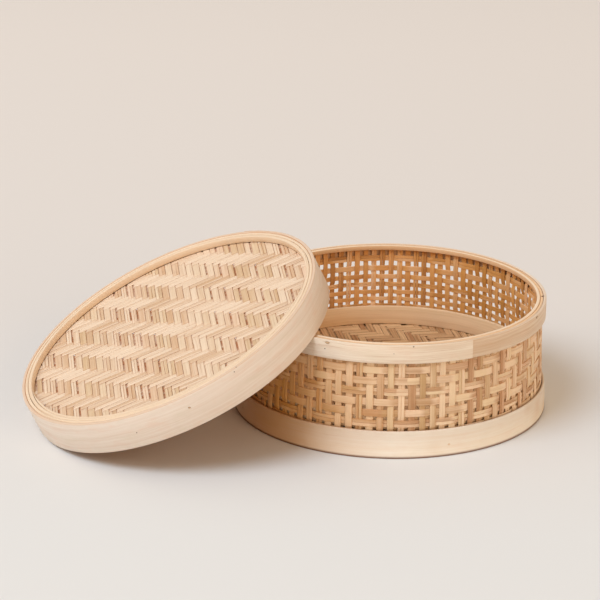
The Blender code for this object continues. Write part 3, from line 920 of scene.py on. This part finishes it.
HOOP_FINISH = split_bamboo(
    "hoop_bamboo", (242, 229, 210), (211, 181, 150), (190, 148, 110), core=(196, 146, 98),
    core_share=0.9, core_from=0.85, fibre=0.0006, tone_pull=0.7, streak_from=0.6, patches=0.14,
    soils_and_shade=rim_marks + [rim_knot])
LID_HOOP_FINISH = split_bamboo(
    "lid_hoop_bamboo", (237, 225, 212), (222, 203, 184), (206, 172, 140), core=(206, 136, 72),
    core_share=0.9, core_from=0.85, fibre=0.0006, tone_pull=0.35, streak_from=0.68, patches=0.18,
    # A tan along the skirt's eased top edge, just under the ring's top: painted shade where skirt and ring
    # meet
    stains_and_shade=[along_line(LID_UPWARD, LID_RING_TOP - 0.0012, LID_RING_TOP - 0.0004, 0.3)], soils_and_shade=skirt_marks)
LID_PLY_FINISH = split_bamboo(
    "lid_ply_bamboo", (246, 223, 193), (227, 201, 169), (182, 138, 98), core=(232, 209, 182),
    core_share=0.7, tone_pull=0.6, streak_from=0.55)
UNDER_PLY_FINISH = split_bamboo(
    "under_ply_bamboo", (214, 168, 116), (190, 140, 90), (150, 100, 58))
BASE_HOOP_FINISH = split_bamboo(
    "base_hoop_bamboo", (250, 243, 230), (242, 227, 205), (206, 168, 132), core=(226, 190, 150),
    core_share=0.7, tone_pull=0.35, patches=0.1,
    # A warm painted shade on the side under the lid, and real smudges
    stains_and_shade=[near_to(LID_SHADOW_SIDE, 0.02, 0.115, 0.75)] + base_smudges,
    # Darker towards the hoop's top, and a dark line along its foot: painted shade where it stands on the
    # floor
    soils_and_shade=[along_line(UPWARD, 0.006, 0.021, 0.16), along_line(UPWARD, 0.0024, 0.0008, 0.9)],
    soil_and_shade_colour=shade(110, 62, 28))
RIM_INNER_FINISH = split_bamboo(
    "rim_inner_bamboo", (246, 226, 200), (232, 202, 168), (176, 132, 90), core=(218, 176, 130),
    core_share=0.85, core_from=0.8)
INNER_HOOP_FINISH = split_bamboo(
    "inner_hoop_bamboo", (244, 215, 176), (224, 190, 146), (182, 136, 94), patches=0.1)
WALL_FINISH = split_bamboo(
    "wall_strip_bamboo", (240, 212, 179), (187, 142, 102), (136, 86, 48), core=(234, 171, 90),
    core_share=0.7, fibre=0.0004, tone_pull=1.15, tint_pull=0.25,
    # A warm painted shade on the side under the lid, and a painted shade on the back right of the wall
    stains_and_shade=[near_to(LID_SHADOW_SIDE, 0.02, 0.13, 0.72), near_to(SHADED_BACK_RIGHT, 0.02, 0.1, 0.45)],
    # Painted shade in the crease just above the base hoop's lip, a real knot, and painted shade on the
    # back right
    soils_and_shade=[along_line(UPWARD, BASE_TOP + 0.0022, BASE_TOP + 0.0004, 0.3), rim_knot,
           near_to(SHADED_BACK_RIGHT, 0.02, 0.1, 0.14)],
    soil_and_shade_colour=shade(104, 58, 24))
LID_MAT_FINISH = split_bamboo(
    "lid_mat_bamboo", (236, 213, 186), (206, 168, 128), (164, 112, 68), core=(170, 90, 26),
    core_share=0.9, fibre=0.0004, tone_pull=0.9, tint_pull=0.16, streak_from=0.58,
    # A dark band of painted shade where the mat meets the ring
    soils_and_shade=[far_from(lid_middle, *MAT_EDGE_SHADE)], soil_and_shade_colour=shade(170, 122, 82))
FLOOR_MAT_FINISH = split_bamboo(
    "floor_mat_bamboo", (229, 190, 142), (173, 124, 81), (110, 70, 38), core=(126, 80, 42),
    core_share=0.8, tone_pull=0.9, tint_pull=0.2, streak_from=0.54)
PEG_FINISH = split_bamboo(
    "peg_bamboo", (222, 192, 158), (200, 166, 128), (140, 100, 68), core=(96, 64, 42), core_share=0.95,
    fibre=0.0003)
PALE_PEG_FINISH = split_bamboo(
    "pale_peg_bamboo", (240, 218, 190), (226, 198, 166), (190, 152, 116), core=(206, 168, 130),
    core_share=0.7, fibre=0.0003)

# Basket

add_piece(
    bent_hoop("base_hoop", BASE_RADIUS, BASE_HOOP_THICKNESS, 0, BASE_TOP, BASKET_PLACE, seam_deg=128,
              profile=base_profile, rows=6, tone=0.4),
    "basket", "base_outer_hoop", BASE_HOOP_FINISH)
add_piece(
    bent_hoop("rim_hoop", RIM_RADIUS, RIM_HOOP_THICKNESS, RIM_FOOT, RIM_TOP, BASKET_PLACE,
              seam_deg=298.7, tone=0.2, start_tone=1.15),
    "basket", "rim_outer_hoop", HOOP_FINISH)
add_piece(
    bent_hoop("rim_inner_ply", RIM_INNER_RADIUS, RIM_INNER_THICKNESS, RIM_INNER_FOOT, RIM_TOP,
              BASKET_PLACE, seam_deg=200, edge=PLY_EDGE, tone=0.4),
    "basket", "rim_inner_hoop", RIM_INNER_FINISH)
add_piece(
    bent_hoop("base_inner_band", BASE_INNER_RADIUS, BASE_INNER_THICKNESS, BASE_INNER_FOOT - PRESSED_IN,
              BASE_INNER_TOP, BASKET_PLACE, seam_deg=230),
    "basket", "base_inner_hoop", INNER_HOOP_FINISH)
support_band = bent_hoop("support_band", SUPPORT_RADIUS, SUPPORT_THICKNESS, SUPPORT_FOOT, SUPPORT_TOP,
                         BASKET_PLACE, seam_deg=20)
cut_notches(support_band, SLATS)
add_piece(support_band, "basket", "base_support_hoop", INNER_HOOP_FINISH)
add_piece(wall_stakes(), "basket", "woven_wall", WALL_FINISH)
add_piece(wall_weavers(), "basket", "woven_wall", WALL_FINISH)
add_mat("floor_mat", "basket", BASKET_PLACE, FLOOR_RADIUS, (FLOOR_TOP + FLOOR_UNDERSIDE) / 2,
        FLOOR_UPRIGHTS, FLOOR_CROSSINGS, FLOOR_MAT_FINISH)
for slat in SLATS:
    add_piece(floor_slat(slat), "basket", slat, INNER_HOOP_FINISH)
add_pegs("rim", "basket", BASKET_PLACE, RIM_PEG_HEAD, PEG_FINISH)
add_pegs("base", "basket", BASKET_PLACE, PEG_HEAD, PALE_PEG_FINISH)

# Lid

add_piece(
    bent_hoop("lid_skirt", LID_RADIUS, LID_RADIUS - LID_SKIRT_INSIDE, LID_SKIRT_FOOT, 0, LID_PLACE,
              seam_deg=60, edge=PLY_EDGE, tone=0.3),
    "lid", "lid_outer_hoop", LID_HOOP_FINISH)
middle_ply_radius = LID_PLY_RADIUS - OUTER_PLY_THICKNESS - PLY_GAP
inner_ply_radius = middle_ply_radius - MIDDLE_PLY_THICKNESS - PLY_GAP
for ply in (
        bent_hoop("lid_outer_ply", LID_PLY_RADIUS, OUTER_PLY_THICKNESS, LID_PLY_FOOT, PLY_TOPS[0],
                  LID_PLACE, seam_deg=236, edge=PLY_EDGE, tone=0.3),
        bent_hoop("lid_middle_ply", middle_ply_radius, MIDDLE_PLY_THICKNESS, LID_PLY_FOOT, PLY_TOPS[1],
                  LID_PLACE, seam_deg=20, edge=PLY_EDGE),
        partial_ply("lid_inner_ply", inner_ply_radius, inner_ply_radius - LID_OPENING_RADIUS, LID_PLY_FOOT,
                    PLY_TOPS[2], LID_PLACE, start_deg=190, end_deg=354, taper_deg=16, tone=0.5)):
    add_piece(ply, "lid", "lid_inner_hoop", LID_PLY_FINISH)
add_mat("lid_mat", "lid", LID_PLACE, LID_MAT_RADIUS, (LID_MAT_TOP + LID_MAT_UNDERSIDE) / 2,
        LID_UPRIGHTS, LID_CROSSINGS, LID_MAT_FINISH)
add_piece(
    bent_hoop("lid_under_ply", LID_UNDER_RADIUS, LID_UNDER_RADIUS - LID_UNDER_INSIDE, LID_UNDER_FOOT,
              LID_UNDER_TOP, LID_PLACE, seam_deg=300),
    "lid", "lid_under_hoop", UNDER_PLY_FINISH)
add_pegs("lid", "lid", LID_PLACE, PEG_HEAD, PEG_FINISH)

# Floor, light and camera

PAPER_SIZE = 12
PAPER_MIDDLE = (0, 2, 0)
# Where the paper's tone changes, in metres along y from its middle; between the two changes it is a little
# darker, painted shade
NEAR_CHANGE = (-2.25, -1.75)
FAR_CHANGE = (-1.65, -0.8)
HORIZON = (1.03, 0.71, 0.45, 1.0)
ZENITH = (1.01, 0.87, 0.73, 1.0)
ZENITH_FROM = 0.6  # height of the view, as a sine, from which the sky is all zenith
SKY_STRENGTH = 0.56
# Name, place, size, power and colour of each lamp; all shine at the middle of the floor
LAMPS = (
    ("window_light", (-4.0, -3.8, 7.6), 5.0, 405, (0.862, 1.03, 1.245)),
    ("side_light", (-7.0, -2.0, 3.4), 4.0, 130, (1.04, 0.93, 0.82)),
    ("bounce_light", (4.2, -5.4, 3.0), 4.0, 120, (1.02, 0.71, 0.43)))
CAMERA_FROM_AXIS = Vector((-0.07535, -2.18856, 0.86321))  # from the foot of the basket's axis
CAMERA_PITCH = 0.3406  # radians, downwards
CAMERA_ROLL = 0.0094
LENS_PER_SENSOR = 2800 / 600  # both in pixels of the picture
SENSOR = 36

scene = bpy.context.scene
deselect()
bpy.ops.mesh.primitive_plane_add(size=PAPER_SIZE, location=PAPER_MIDDLE)
paper = bpy.context.object
paper.name = "paper_floor"
paper_finish = bpy.data.materials.new("warm_paper")
paper_finish.use_nodes = True
paper_tree = paper_finish.node_tree
paper_shader = paper_tree.nodes["Principled BSDF"]
paper_place = add_node(paper_tree, "ShaderNodeTexCoord").outputs["Object"]
paper_away = add_node(paper_tree, "ShaderNodeSeparateXYZ", {0: paper_place}).outputs["Y"]
paper_colour = blend_colours(
    paper_tree, between(paper_tree, paper_away, *NEAR_CHANGE), shade(227, 228, 226), shade(227, 223, 218))
paper_colour = blend_colours(
    paper_tree, between(paper_tree, paper_away, *FAR_CHANGE), paper_colour, shade(233, 228, 222))
paper_tree.links.new(paper_colour, paper_shader.inputs["Base Color"])
paper_shader.inputs["Roughness"].default_value = 0.9
paper_shader.inputs["Specular IOR Level"].default_value = 0.1
paper.data.materials.append(paper_finish)

for name, place, size, power, colour in LAMPS:
    light = bpy.data.lights.new(name, "AREA")
    light.shape = "DISK"
    light.size = size
    light.energy = power
    light.color = colour
    lamp = bpy.data.objects.new(name, light)
    scene.collection.objects.link(lamp)
    lamp.location = place
    lamp.rotation_euler = (-Vector(place)).to_track_quat("-Z", "Y").to_euler()

world = bpy.data.worlds.new("studio")
scene.world = world
world.use_nodes = True
sky = world.node_tree
sky_view = add_node(sky, "ShaderNodeTexCoord").outputs["Generated"]
sky_height = add_node(sky, "ShaderNodeSeparateXYZ", {0: sky_view}).outputs["Z"]
sky_colour = blend_colours(sky, between(sky, sky_height, 0.0, ZENITH_FROM), HORIZON, ZENITH)
sky.links.new(sky_colour, sky.nodes["Background"].inputs["Color"])
sky.nodes["Background"].inputs["Strength"].default_value = SKY_STRENGTH
scene.view_settings.view_transform = "Standard"

lens = bpy.data.cameras.new("camera")
lens.sensor_width = SENSOR
lens.lens = SENSOR * LENS_PER_SENSOR
camera = bpy.data.objects.new("camera", lens)
scene.collection.objects.link(camera)
pitched = Matrix.Rotation(math.pi / 2 - CAMERA_PITCH, 4, "X")
rolled = Matrix.Rotation(CAMERA_ROLL, 4, "Z")
camera.matrix_world = Matrix.Translation(BASKET_PLACE.translation + CAMERA_FROM_AXIS) @ pitched @ rolled
scene.camera = camera
